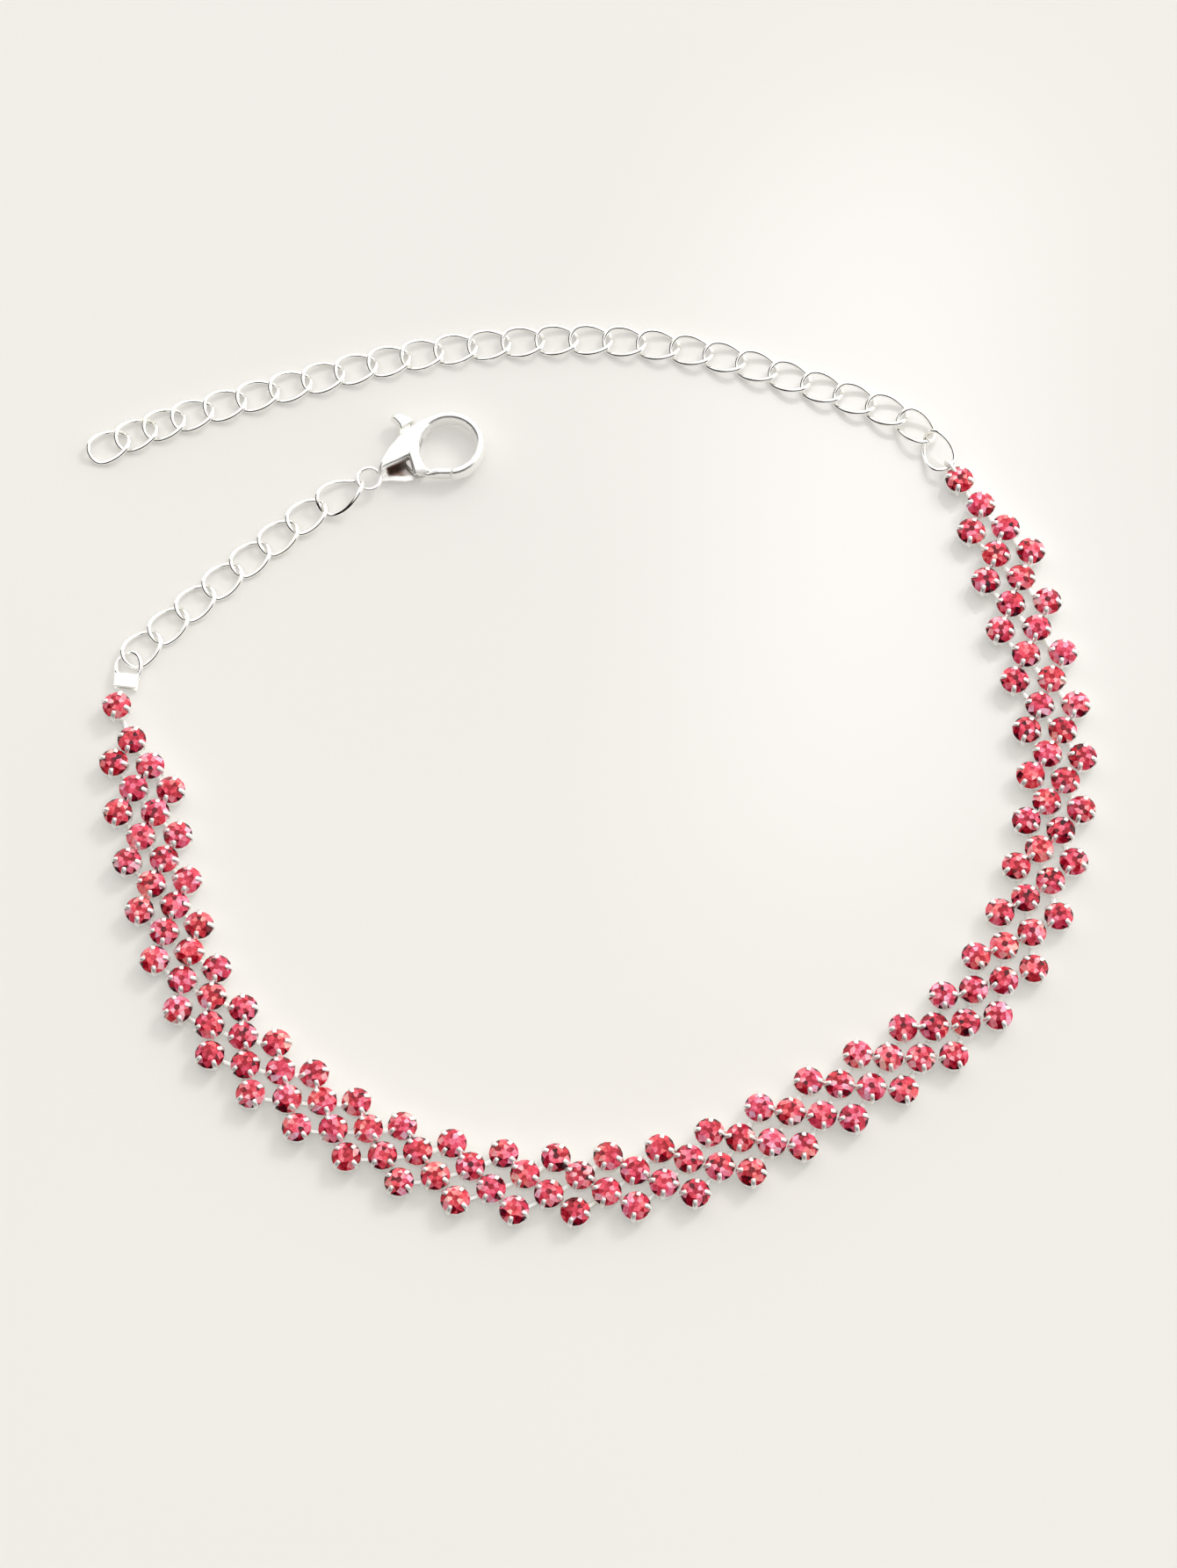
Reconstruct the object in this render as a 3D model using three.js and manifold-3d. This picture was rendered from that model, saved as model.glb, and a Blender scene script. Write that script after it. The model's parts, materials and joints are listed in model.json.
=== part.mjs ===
// Rhinestone link bracelet: four columns of stone cups in slanting rows, a curb chain extender at one
// end, and a short curb chain with a lobster clasp at the other. It lies open on a flat surface.
// Millimetres and degrees; +Z is up, and the underside of the cups is at z = 0.

import * as THREE from 'three';
import { ConvexGeometry } from 'three/addons/geometries/ConvexGeometry.js';
import { mergeVertices } from 'three/addons/utils/BufferGeometryUtils.js';
import Module from 'manifold-3d';

// ---------------------------------------------------------------- driving dimensions

const BAND_ROWS = 32;
const ROWS_PER_SECTION = 2;
const COLUMNS = 4;
const ROW_LEAN = 0.55;
const COLUMN_GAP = 1.63;

const CUP = { sides: 8, diameter: 2.56, wall: 1.5, tableWidth: 1.35, top: 2.05 };
const STRIP = { width: 0.8, low: 0.1, high: 0.5 };

const LINK = { length: 4.4, width: 3.3, wire: 0.44, twist: 14 };
const OVAL = { length: 5.2, width: 3.6, wire: 0.45, twist: 20.2 };
const RING = { length: 3.2, width: 2.7, wire: 0.45, twist: 22 };
const WIRE_SIDES = 4;
const LINK_STEPS = 10;

const HOOK_STEPS = 13;

const EXTENDER_LINKS = 27;
const SHORT_LINKS = 7;

// Routes of the three runs. Each section is an arc of equal steps, and a step is one row or one link.
const BAND_ROUTE = {
  start: [37.6, 26.3],
  heading: -74,
  sections: [
    { steps: 4, pitch: 5.2, turn: -7 },
    { steps: 3, pitch: 4.8, turn: -24 },
    { steps: 5, pitch: 5.15, turn: -45 },
    { steps: 3, pitch: 5.1, turn: -4 },
    { steps: 4, pitch: 5.0, turn: -35 },
    { steps: 4, pitch: 4.95, turn: -26 },
    { steps: 4, pitch: 4.85, turn: -34 },
    { steps: 4, pitch: 4.7, turn: -19 },
  ],
};
const EXTENDER_ROUTE = {
  start: [32.6, 33.1],
  heading: 115,
  sections: [
    { steps: 2, pitch: 3.25, turn: 42 },
    { steps: 4, pitch: 3.25, turn: 4 },
    { steps: 6, pitch: 3.2, turn: 21 },
    { steps: 6, pitch: 3.2, turn: 14 },
    { steps: 5, pitch: 3.2, turn: 3 },
    { steps: 3, pitch: 2.8, turn: 8 },
  ],
};
const SHORT_ROUTE = {
  start: [-41.1, 13.25],
  heading: 45,
  sections: [
    { steps: 6, pitch: 3.34, turn: -6 },
  ],
};

// Small unevenness of the band: one slow wave along it and one quick wave across it.
const WANDER = { along: 0.17, across: 0.16 };
// The two corner cups that the end fittings pull out of line, along the band and across it.
const PULLED_CUPS = [
  { row: 0, column: 0, along: -0.15, across: 0.4 },
  { row: 31, column: 3, along: 0.75, across: 0 },
];

// How far the extender's first links stand off the surface, and how far the first one leans.
const EXTENDER_LIFT = [0.05, 0.3, 0.15];
const FIRST_LINK_ROLL = -33;

const CUP_LOOP = { radius: 0.75, wire: 0.4, reach: 1.45, height: 1.1 };

const CONNECTOR = {
  ring: [-42.25, 11.4],
  height: 0.62,
  heading: 72,
  plateWidth: 2.2,
  plateLength: 1.0,
  leaf: 0.35,
  slit: 0.45,
};
const SHORT_LIFT = [0, 0, 0, 0, 0, 0.07, 0.2];
const OVAL_PLACE = { at: [-23.02, 28.68], heading: 30, height: 1.03, rise: 4.4, roll: -10 };

const CLASP = {
  eye: [-20.46, 30.19],
  heading: 17.7,
  thickness: 2.4,
  eyeRadius: 1.1,
  eyeWire: 0.45,
  pivot: [4.5, 0.3],
  pinRadius: 0.35,
  pinPlay: 0.1,
  slot: 0.96,
  hookCentre: [8.1, 0.95],
  hookRadius: 2.93,
  hookWidth: 0.8,
  hookDepth: 1.9,
  hookFrom: 128,
  hookTo: -104,
  gateReach: 3.65,
  gateGap: 0.15,
  gateDepth: 1.5,
  leverDepth: 0.68,
  thumbDepth: 1.3,
};

// The middle of the whole layout, which the origin stands under.
const MIDDLE = [-0.38, 2.17];

// ---------------------------------------------------------------- materials

const silver = new THREE.MeshStandardMaterial({ color: 0xf4f2ee, roughness: 0.2, metalness: 1 });
const rose = new THREE.MeshStandardMaterial({ color: 0xd9305c, roughness: 0.1, metalness: 0 });

// ---------------------------------------------------------------- helpers

const wasm = await Module();
wasm.setup();

const radians = THREE.MathUtils.degToRad;

// A closed three.js geometry as a manifold solid.
function toSolid(geometry) {
  const bare = geometry.clone();
  bare.deleteAttribute('normal');
  bare.deleteAttribute('uv');
  const merged = mergeVertices(bare, 1e-4);
  return new wasm.Manifold(new wasm.Mesh({
    numProp: 3,
    vertProperties: new Float32Array(merged.attributes.position.array),
    triVerts: new Uint32Array(merged.index.array),
  }));
}

// A manifold solid as a three.js geometry.
function toGeometry(solid) {
  const mesh = solid.getMesh();
  const geometry = new THREE.BufferGeometry();
  geometry.setAttribute('position', new THREE.BufferAttribute(mesh.vertProperties, 3));
  geometry.setIndex(new THREE.BufferAttribute(mesh.triVerts, 1));
  geometry.computeVertexNormals();
  return geometry;
}

function join(geometries) {
  return geometries.map(toSolid).reduce((whole, piece) => whole.add(piece));
}

// The place after some steps along a route: the route runs straight on before its first section,
// and its last section's bend carries on past the end.
function placeOn(route, steps) {
  let [x, y] = route.start;
  let heading = radians(route.heading);
  if (steps < 0) {
    const back = steps * route.sections[0].pitch;
    return { x: x + back * Math.cos(heading), y: y + back * Math.sin(heading), heading };
  }
  let left = steps;
  route.sections.forEach((section, index) => {
    const isLast = index === route.sections.length - 1;
    const taken = isLast ? left : Math.min(left, section.steps);
    const length = taken * section.pitch;
    const half = radians(section.turn) * taken / section.steps / 2;
    const chord = half === 0 ? length : length * Math.sin(half) / half;
    x += chord * Math.cos(heading + half);
    y += chord * Math.sin(heading + half);
    heading += 2 * half;
    left -= taken;
  });
  return { x, y, heading };
}

// A flat outline given a thickness between two heights, with its rims chamfered.
function plate(points, low, high, chamfer = 0) {
  const shape = points instanceof THREE.Shape
    ? points
    : new THREE.Shape(points.map(([x, y]) => new THREE.Vector2(x, y)));
  const geometry = new THREE.ExtrudeGeometry(shape, {
    depth: high - low - 2 * chamfer,
    bevelEnabled: chamfer > 0,
    bevelThickness: chamfer,
    bevelSize: chamfer,
    bevelOffset: -chamfer,
    bevelSegments: 1,
    curveSegments: 6,
  });
  return geometry.translate(0, 0, low + chamfer);
}

// ---------------------------------------------------------------- band

// The centre of one stone cup, with the heading of the band there.
function cupPlace(row, column) {
  const offset = column - (COLUMNS - 1) / 2;
  const { x, y, heading } = placeOn(BAND_ROUTE, row + offset * ROW_LEAN);
  let along = WANDER.along * Math.sin(0.1 * row + 0.2);
  let across = offset * COLUMN_GAP + WANDER.across * Math.sin(1.15 * row + 0.9 * column + 2);
  const pull = PULLED_CUPS.find((cup) => cup.row === row && cup.column === column);
  if (pull) {
    along += pull.along;
    across += pull.across;
  }
  return {
    x: x + along * Math.cos(heading) - across * Math.sin(heading),
    y: y + along * Math.sin(heading) + across * Math.cos(heading),
    heading,
  };
}

// The direction that a row of cups slants in.
function rowDirection(row) {
  const first = cupPlace(row, 0);
  const last = cupPlace(row, COLUMNS - 1);
  return Math.atan2(last.y - first.y, last.x - first.x);
}

// A stone in its cup: straight walls, then the stone's crown up to a square table.
function cupGeometry() {
  const points = [];
  const corner = (radius, angle, height) => points.push(
    new THREE.Vector3(radius * Math.cos(angle), radius * Math.sin(angle), height));
  for (let side = 0; side < CUP.sides; side += 1) {
    const angle = (side + 0.5) * 2 * Math.PI / CUP.sides;
    corner(CUP.diameter / 2, angle, 0);
    corner(CUP.diameter / 2, angle, CUP.wall);
  }
  for (let side = 0; side < 4; side += 1) {
    corner(CUP.tableWidth / Math.SQRT2, (side + 0.5) * Math.PI / 2, CUP.top);
  }
  return new ConvexGeometry(points);
}

// A flat strip on the underside that ties one cup to the next.
function stripGeometry(from, to) {
  const length = Math.hypot(to.x - from.x, to.y - from.y);
  const geometry = new THREE.BoxGeometry(length, STRIP.width, STRIP.high - STRIP.low);
  geometry.rotateZ(Math.atan2(to.y - from.y, to.x - from.x));
  return geometry.translate(
    (from.x + to.x) / 2, (from.y + to.y) / 2, (STRIP.low + STRIP.high) / 2);
}

// The upright half ring on the first cup, which the extender's first link hangs in.
function cupLoopGeometry() {
  const cup = cupPlace(0, 0);
  const [linkX, linkY] = EXTENDER_ROUTE.start;
  const reach = CUP_LOOP.reach;
  const path = new THREE.CatmullRomCurve3([
    new THREE.Vector3(0.6, 0, CUP_LOOP.height + CUP_LOOP.radius),
    new THREE.Vector3(reach, 0, CUP_LOOP.height + CUP_LOOP.radius),
    new THREE.Vector3(reach + 0.53, 0, CUP_LOOP.height + 0.53),
    new THREE.Vector3(reach + CUP_LOOP.radius, 0, CUP_LOOP.height),
    new THREE.Vector3(reach + 0.53, 0, CUP_LOOP.height - 0.53),
    new THREE.Vector3(reach, 0, CUP_LOOP.height - CUP_LOOP.radius),
    new THREE.Vector3(0.6, 0, CUP_LOOP.height - CUP_LOOP.radius),
  ]);
  const section = new THREE.Shape();
  section.absarc(0, 0, CUP_LOOP.wire / 2, 0, 2 * Math.PI);
  const geometry = new THREE.ExtrudeGeometry(section, {
    steps: 10, extrudePath: path, curveSegments: WIRE_SIDES,
  });
  geometry.rotateZ(Math.atan2(linkY - cup.y, linkX - cup.x));
  return geometry.translate(cup.x, cup.y, 0);
}

// Two slanting rows of four cups, soldered into one piece.
function sectionGeometry(firstRow) {
  const pieces = [];
  for (let row = firstRow; row < firstRow + ROWS_PER_SECTION; row += 1) {
    for (let column = 0; column < COLUMNS; column += 1) {
      const cup = cupPlace(row, column);
      pieces.push(cupGeometry().rotateZ(rowDirection(row)).translate(cup.x, cup.y, 0));
      if (column > 0) {
        pieces.push(stripGeometry(cupPlace(row, column - 1), cup));
      }
    }
  }
  pieces.push(stripGeometry(cupPlace(firstRow, 2), cupPlace(firstRow + 1, 1)));
  if (firstRow === 0) {
    pieces.push(cupLoopGeometry());
  }
  return toGeometry(join(pieces));
}

// ---------------------------------------------------------------- chains

// A wire ring stretched into an oval and twisted about its long axis, so that one corner of each
// end rides over the next link and the other corner passes under it.
function linkGeometry({ length, width, wire, twist }) {
  const ring = new THREE.TorusGeometry((width - wire) / 2, wire / 2, WIRE_SIDES, LINK_STEPS);
  const stretch = (length - width) / 2;
  const position = ring.attributes.position;
  const point = new THREE.Vector3();
  const axis = new THREE.Vector3(1, 0, 0);
  for (let index = 0; index < position.count; index += 1) {
    point.fromBufferAttribute(position, index);
    const around = Math.atan2(point.y, point.x);
    point.x += stretch * THREE.MathUtils.clamp(1.6 * Math.cos(around), -1, 1);
    point.applyAxisAngle(axis, -radians(twist) * point.x);
    position.setXYZ(index, point.x, point.y, point.z);
  }
  return ring;
}

// A link set down at a place, as low as it goes, plus a lift.
function setDown(mesh, place, lift = 0) {
  mesh.geometry.computeBoundingBox();
  mesh.position.set(place.x, place.y, lift - mesh.geometry.boundingBox.min.z);
  mesh.rotation.z = place.heading;
  return mesh;
}

function chainMeshes(name, route, count, lifts, firstRoll) {
  const meshes = [];
  for (let index = 0; index < count; index += 1) {
    const geometry = linkGeometry(LINK);
    if (index === 0) {
      geometry.rotateX(radians(firstRoll));
    }
    const mesh = new THREE.Mesh(geometry, silver);
    mesh.name = `${name}_${String(index + 1).padStart(2, '0')}`;
    meshes.push(setDown(mesh, placeOn(route, index), lifts[index] ?? 0));
  }
  return meshes;
}

function ovalMesh() {
  const geometry = linkGeometry(OVAL);
  geometry.rotateY(-radians(OVAL_PLACE.rise));
  geometry.rotateX(radians(OVAL_PLACE.roll));
  const mesh = new THREE.Mesh(geometry, silver);
  mesh.name = 'oval_link';
  mesh.position.set(...OVAL_PLACE.at, OVAL_PLACE.height);
  mesh.rotation.z = radians(OVAL_PLACE.heading);
  return mesh;
}

// A loop with a folded plate behind it, whose two leaves close over the last cup's strip.
function connectorMesh() {
  const { height, plateWidth, plateLength, leaf, slit } = CONNECTOR;
  const front = RING.wire - RING.length / 2;
  const block = (back, low, high) => {
    const box = new THREE.BoxGeometry(front - back, plateWidth, high - low);
    return box.translate((front + back) / 2, 0, (low + high) / 2);
  };
  const solid = join([
    linkGeometry(RING).translate(0, 0, height),
    block(front - RING.wire - plateLength, height - slit / 2 - leaf, height - slit / 2),
    block(front - RING.wire - plateLength, height + slit / 2, height + slit / 2 + leaf),
    block(front - RING.wire, height - slit / 2 - leaf, height + slit / 2 + leaf),
  ]);
  const mesh = new THREE.Mesh(toGeometry(solid), silver);
  mesh.name = 'end_connector';
  mesh.position.set(...CONNECTOR.ring, 0);
  mesh.rotation.z = radians(CONNECTOR.heading);
  return mesh;
}

// ---------------------------------------------------------------- clasp

// Outlines in the clasp's own frame: the eye is at the origin and the hook lies along +X.
const CHEEK_SPINE = [
  [6.9, 3.35], [6.3, 4.05], [5.4, 3.8], [3.9, 3.05], [2.6, 2.15], [1.6, 1.15], [1.0, 0.35],
];
const UPPER_CHEEK = [
  [1.0, -0.3], [1.5, 0.3], [2.9, 0.4], [3.85, 0.65], [3.7, -0.75], [5.0, -0.65],
  [5.2, 0.6], [5.5, 1.7], [6.0, 2.5], ...CHEEK_SPINE,
];
const LOWER_CHEEK = [
  [1.0, -0.35], [1.9, -0.5], [3.3, -1.05], [5.0, -1.2],
  [5.2, 0.6], [5.5, 1.7], [6.0, 2.5], ...CHEEK_SPINE,
];
const SLOT = [
  [1.9, -2.4], [6.5, -2.4], [6.5, 0.6], [5.05, 0.9], [5.1, 2.6], [5.75, 4.8], [1.9, 4.8],
];
const LEVER_TONGUE = [
  [4.0, -0.5], [4.6, -1.1], [5.6, -1.35], [5.6, -0.85], [5.2, -0.3], [4.95, 0.6], [4.85, 2.6],
  [5.3, 4.3], [4.3, 4.6], [3.95, 3.0], [3.75, 1.0], [3.7, 0.2],
];
const THUMB = [
  [4.15, 3.95], [5.35, 4.2], [5.9, 4.35], [5.45, 5.0], [4.1, 5.55], [3.75, 5.35],
];
const GATE = { root: [5.2, -0.65], tip: [8.4, -1.66], drop: 0.85 };

// A pie slice around the pivot that the gate's end sweeps through.
function sweptSlice(radius) {
  const [x, y] = CLASP.pivot;
  const slice = new THREE.Shape();
  slice.absarc(x, y, radius, radians(-75), radians(-5));
  slice.lineTo(x, y);
  return slice;
}

function hookGeometry() {
  const [x, y] = CLASP.hookCentre;
  const from = radians(CLASP.hookFrom);
  const to = radians(CLASP.hookTo);
  const points = [];
  for (let step = 0; step <= HOOK_STEPS; step += 1) {
    const angle = from + (to - from) * step / HOOK_STEPS;
    points.push(new THREE.Vector3(
      x + CLASP.hookRadius * Math.cos(angle),
      y + CLASP.hookRadius * Math.sin(angle),
      CLASP.thickness / 2));
  }
  const section = new THREE.Shape();
  section.absellipse(0, 0, CLASP.hookDepth / 2, CLASP.hookWidth / 2, 0, 2 * Math.PI);
  return new THREE.ExtrudeGeometry(section, {
    steps: HOOK_STEPS, extrudePath: new THREE.CatmullRomCurve3(points), curveSegments: 4,
  });
}

function claspBodyMesh() {
  const middle = CLASP.thickness / 2;
  const [pivotX, pivotY] = CLASP.pivot;
  const eye = new THREE.TorusGeometry(CLASP.eyeRadius, CLASP.eyeWire / 2, 6, 14);
  const pin = new THREE.CylinderGeometry(CLASP.pinRadius, CLASP.pinRadius, CLASP.slot + 0.6, 10);
  const body = join([
    plate(UPPER_CHEEK, middle, CLASP.thickness, 0.2),
    plate(LOWER_CHEEK, 0, middle + 0.2, 0.2),
  ])
    .subtract(toSolid(plate(SLOT, middle - CLASP.slot / 2, middle + CLASP.slot / 2)))
    .add(toSolid(hookGeometry()))
    .subtract(toSolid(plate(sweptSlice(CLASP.gateReach + CLASP.gateGap), 0.2, 2.3)))
    .add(toSolid(pin.rotateX(Math.PI / 2).translate(pivotX, pivotY, middle)))
    .add(toSolid(eye.translate(0, 0, middle)));
  const mesh = new THREE.Mesh(toGeometry(body), silver);
  mesh.name = 'clasp_body';
  return mesh;
}

function claspLeverMesh() {
  const middle = CLASP.thickness / 2;
  const [pivotX, pivotY] = CLASP.pivot;
  const layer = (points, depth, chamfer) => plate(
    points, middle - depth / 2, middle + depth / 2, chamfer);
  const { root, tip, drop } = GATE;
  const gateBar = [
    root, [root[0], root[1] - drop], [tip[0], tip[1] - drop], tip,
  ];
  const boreRadius = CLASP.pinRadius + CLASP.pinPlay;
  const bore = new THREE.CylinderGeometry(boreRadius, boreRadius, 2, 10);
  const gate = toSolid(layer(gateBar, CLASP.gateDepth, 0.15))
    .intersect(toSolid(layer(sweptSlice(CLASP.gateReach), 2, 0)));
  const lever = toSolid(layer(LEVER_TONGUE, CLASP.leverDepth, 0))
    .subtract(toSolid(bore.rotateX(Math.PI / 2).translate(pivotX, pivotY, middle)))
    .add(gate)
    .add(toSolid(layer(THUMB, CLASP.thumbDepth, 0.2)));
  const mesh = new THREE.Mesh(toGeometry(lever), silver);
  mesh.name = 'clasp_lever';
  return mesh;
}

// ---------------------------------------------------------------- assembly

const bracelet = new THREE.Group();

for (let section = 0; section < BAND_ROWS / ROWS_PER_SECTION; section += 1) {
  const mesh = new THREE.Mesh(sectionGeometry(section * ROWS_PER_SECTION), rose);
  mesh.name = `band_section_${String(section + 1).padStart(2, '0')}`;
  bracelet.add(mesh);
}

bracelet.add(...chainMeshes(
  'extender_link', EXTENDER_ROUTE, EXTENDER_LINKS, EXTENDER_LIFT, FIRST_LINK_ROLL));
bracelet.add(...chainMeshes('chain_link', SHORT_ROUTE, SHORT_LINKS, SHORT_LIFT, 0));
bracelet.add(ovalMesh());
bracelet.add(connectorMesh());

const clasp = new THREE.Group();
clasp.add(claspBodyMesh());
clasp.add(claspLeverMesh());
clasp.position.set(...CLASP.eye, 0);
clasp.rotation.z = radians(CLASP.heading);
bracelet.add(clasp);

bracelet.position.set(-MIDDLE[0], -MIDDLE[1], 0);

export default bracelet;
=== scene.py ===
import json
import math

import bpy
import numpy as np
from bpy.props import FloatProperty, FloatVectorProperty, IntProperty, PointerProperty
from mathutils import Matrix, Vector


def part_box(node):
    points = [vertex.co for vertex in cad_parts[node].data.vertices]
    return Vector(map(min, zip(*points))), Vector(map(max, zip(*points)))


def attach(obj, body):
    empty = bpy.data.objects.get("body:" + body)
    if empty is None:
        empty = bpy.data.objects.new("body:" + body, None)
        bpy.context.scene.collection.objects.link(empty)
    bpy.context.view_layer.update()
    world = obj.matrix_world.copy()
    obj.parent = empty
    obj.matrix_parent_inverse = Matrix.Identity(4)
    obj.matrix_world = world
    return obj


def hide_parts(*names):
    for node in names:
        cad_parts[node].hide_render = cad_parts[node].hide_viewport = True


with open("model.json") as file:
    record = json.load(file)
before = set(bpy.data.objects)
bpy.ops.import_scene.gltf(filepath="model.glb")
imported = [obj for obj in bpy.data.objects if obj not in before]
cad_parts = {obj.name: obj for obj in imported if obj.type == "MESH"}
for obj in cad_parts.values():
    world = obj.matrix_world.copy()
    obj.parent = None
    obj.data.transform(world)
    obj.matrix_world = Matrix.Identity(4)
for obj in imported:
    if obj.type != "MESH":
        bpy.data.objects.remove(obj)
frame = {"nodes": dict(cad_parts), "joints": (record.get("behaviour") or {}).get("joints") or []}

bl_info = {
    "name": "Rhinestone Link Bracelet",
    "version": (1, 0, 0),
    "blender": (4, 5, 0),
    "location": "View3D > Sidebar > Bracelet",
    "description": "Dresses a link bracelet: stones in claw cups, curb chains and a lobster clasp",
    "category": "Add Mesh",
}

MM = 0.001
TURN = 2 * math.pi
UPWARD = np.array([0.0, 0.0, 1.0])

STONE_COUNT = 128
COLUMNS = 4
CUP_SEED = 21
CUP_SIDES = 14
CLAWS = 4
CLAW_THICKNESS = 0.2 * MM
TIE_THICKNESS = 0.4 * MM
TIE_HEIGHT = 0.3 * MM
BAND_NODES = [f"band_section_{n:02d}" for n in range(1, 17)]
EXTENDER_NODES = [f"extender_link_{n:02d}" for n in range(1, 28)]
CHAIN_NODES = [f"chain_link_{n:02d}" for n in range(1, 8)]

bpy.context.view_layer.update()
TABLE_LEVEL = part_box("band_section_02")[1].z


# ---------------------------------------------------------------- the frame's own places

def mesh_points(mesh):
    """The vertices of a mesh, one row each."""
    flat = np.empty(len(mesh.vertices) * 3, np.float32)
    mesh.vertices.foreach_get("co", flat)
    return flat.reshape(-1, 3).astype(float)


def node_vertices(name):
    """Every different vertex of a CAD node, one row each."""
    return np.unique(mesh_points(frame["nodes"][name].data).round(7), axis=0)


def node_triangles(name):
    """The corners of a CAD node's triangles, as an array of triangle, corner and coordinate."""
    mesh = frame["nodes"][name].data
    mesh.calc_loop_triangles()
    corner = np.empty(len(mesh.loop_triangles) * 3, np.int32)
    mesh.loop_triangles.foreach_get("vertices", corner)
    return mesh_points(mesh)[corner.reshape(-1, 3)]


def stone_tables(name):
    """Middle and side angle of each stone's square table in a band section. Two triangles share the
    square, so the middle of a triangle's longest side is the middle of the table."""
    corners = node_triangles(name)
    sides = np.roll(corners, -1, axis=1) - corners
    lengths = np.linalg.norm(sides, axis=2)
    heights = corners[:, :, 2]
    on_top = np.ptp(heights, axis=1) < 0.001 * MM
    on_top &= heights.min(axis=1) > TABLE_LEVEL - 0.02 * MM
    on_top &= lengths.min(axis=1) > 1 * MM
    corners, sides, lengths = corners[on_top], sides[on_top], lengths[on_top]
    longest = np.argmax(lengths, axis=1)
    rows = np.arange(len(corners))
    middle = corners[rows, longest] + sides[rows, longest] / 2
    side = sides[rows, (longest + 1) % 3]
    _, first = np.unique((middle[:, :2] / (0.1 * MM)).round(), axis=0, return_index=True)
    return middle[first, :2], np.arctan2(side[first, 1], side[first, 0])


def row_lines(centres, angle):
    """Sorts a section's cups into its two slanting rows. Along the row direction the rows are two
    straight lines, so of the table's two side directions it is the one with less spread across."""
    choices = []
    for turned in (angle, angle + math.pi / 2):
        along = np.array([math.cos(turned), math.sin(turned)])
        across = np.array([-along[1], along[0]])
        choices.append((np.ptp(centres @ across), along, across))
    return min(choices, key=lambda choice: choice[0])[1:]


def cup_grid():
    """Centres of all cups as rows of four, and the slanting direction of each row."""
    tables = [stone_tables(name) for name in BAND_NODES]
    middles = np.array([centres.mean(axis=0) for centres, _ in tables])
    headings = np.gradient(middles, axis=0)
    grid, slants = [], []
    for (centres, angles), heading in zip(tables, headings):
        along, across = row_lines(centres, angles[0])
        left = np.array([-heading[1], heading[0]])
        along = along * np.sign(along @ left)
        across = across * np.sign(across @ heading)
        order = np.argsort(centres @ across)
        for row in (order[:COLUMNS], order[COLUMNS:]):
            line = centres[row][np.argsort(centres[row] @ along)]
            span = line[-1] - line[0]
            grid.append(line)
            slants.append(math.atan2(span[1], span[0]))
    return np.array(grid), np.array(slants)


def link_place(name):
    """Centre and axes of a chain link: its long, wide and upward directions are the main axes of
    its vertices, which are alike on both sides of its centre."""
    points = node_vertices(name)
    centre = points.mean(axis=0)
    _, _, axes = np.linalg.svd(points - centre, full_matrices=False)
    upward = axes[2] * (1 if axes[2][2] > 0 else -1)
    return centre, np.column_stack([axes[0], np.cross(upward, axes[0]), upward])


def turn_about_up(angle):
    """Matrices that turn by these angles about Z."""
    angle = np.atleast_1d(angle)
    turn = np.zeros((len(angle), 3, 3))
    turn[:, 0, 0] = turn[:, 1, 1] = np.cos(angle)
    turn[:, 1, 0] = np.sin(angle)
    turn[:, 0, 1] = -turn[:, 1, 0]
    turn[:, 2, 2] = 1
    return turn


# ---------------------------------------------------------------- shells
# A shell is an array of points and a list of blocks, each an array of faces with as many corners.

def band_faces(rows, sides, closed=False):
    """Four-sided faces between each ring of points and the next, around rings of so many points."""
    ring, side = np.meshgrid(np.arange(rows - (not closed)), np.arange(sides), indexing="ij")
    after, beside = (ring + 1) % rows, (side + 1) % sides
    corners = [
        ring * sides + side, ring * sides + beside, after * sides + beside, after * sides + side]
    return np.stack(corners, axis=-1).reshape(-1, 4)


def end_faces(rows, sides):
    """One many-sided face over the first ring and one over the last."""
    first = np.arange(sides)[::-1]
    last = (rows - 1) * sides + np.arange(sides)
    return np.array([first, last])


def join_shells(shells):
    """Several shells as one, each block of faces moved on past the points before it."""
    points, blocks, count = [], [], 0
    for shell_points, shell_blocks in shells:
        points.append(shell_points)
        blocks += [block + count for block in shell_blocks]
        count += len(shell_points)
    return np.concatenate(points), blocks


def repeat_shell(shell, turns, places):
    """The shell set down once for each turn, a matrix, and place."""
    points, blocks = shell
    spread = np.einsum("mij,nj->mni", turns, points) + places[:, None]
    jump = (np.arange(len(places)) * len(points))[:, None, None]
    return spread.reshape(-1, 3), [(block + jump).reshape(-1, block.shape[1]) for block in blocks]


def squared_ring(sides, squareness):
    """Cosine and sine around a ring, both raised to the power squareness with their signs kept, so
    that 1 gives a circle and less gives a rounded square."""
    around = np.arange(sides) * TURN / sides
    return tuple(
        np.sign(share) * np.abs(share) ** squareness for share in (np.cos(around), np.sin(around)))


def rod(path, up, half_width, half_height, sides=12, closed=False, squareness=1.0):
    """A rod along a line of points. Around each point lies a squared ring: half_width times its
    cosine to the side and half_height times its sine upwards."""
    if closed:
        step = np.roll(path, -1, axis=0) - np.roll(path, 1, axis=0)
    else:
        step = np.gradient(path, axis=0)
    forward = step / np.linalg.norm(step, axis=1, keepdims=True)
    side = np.cross(up, forward)
    side /= np.linalg.norm(side, axis=1, keepdims=True)
    rise = np.cross(forward, side)
    wide, high = squared_ring(sides, squareness)
    half_width = np.broadcast_to(half_width, len(path))
    half_height = np.broadcast_to(half_height, len(path))
    points = (path[:, None]
              + (half_width[:, None] * wide)[..., None] * side[:, None]
              + (half_height[:, None] * high)[..., None] * rise[:, None])
    blocks = [band_faces(len(path), sides, closed)]
    if not closed:
        blocks.append(end_faces(len(path), sides))
    return points.reshape(-1, 3), blocks


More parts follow.
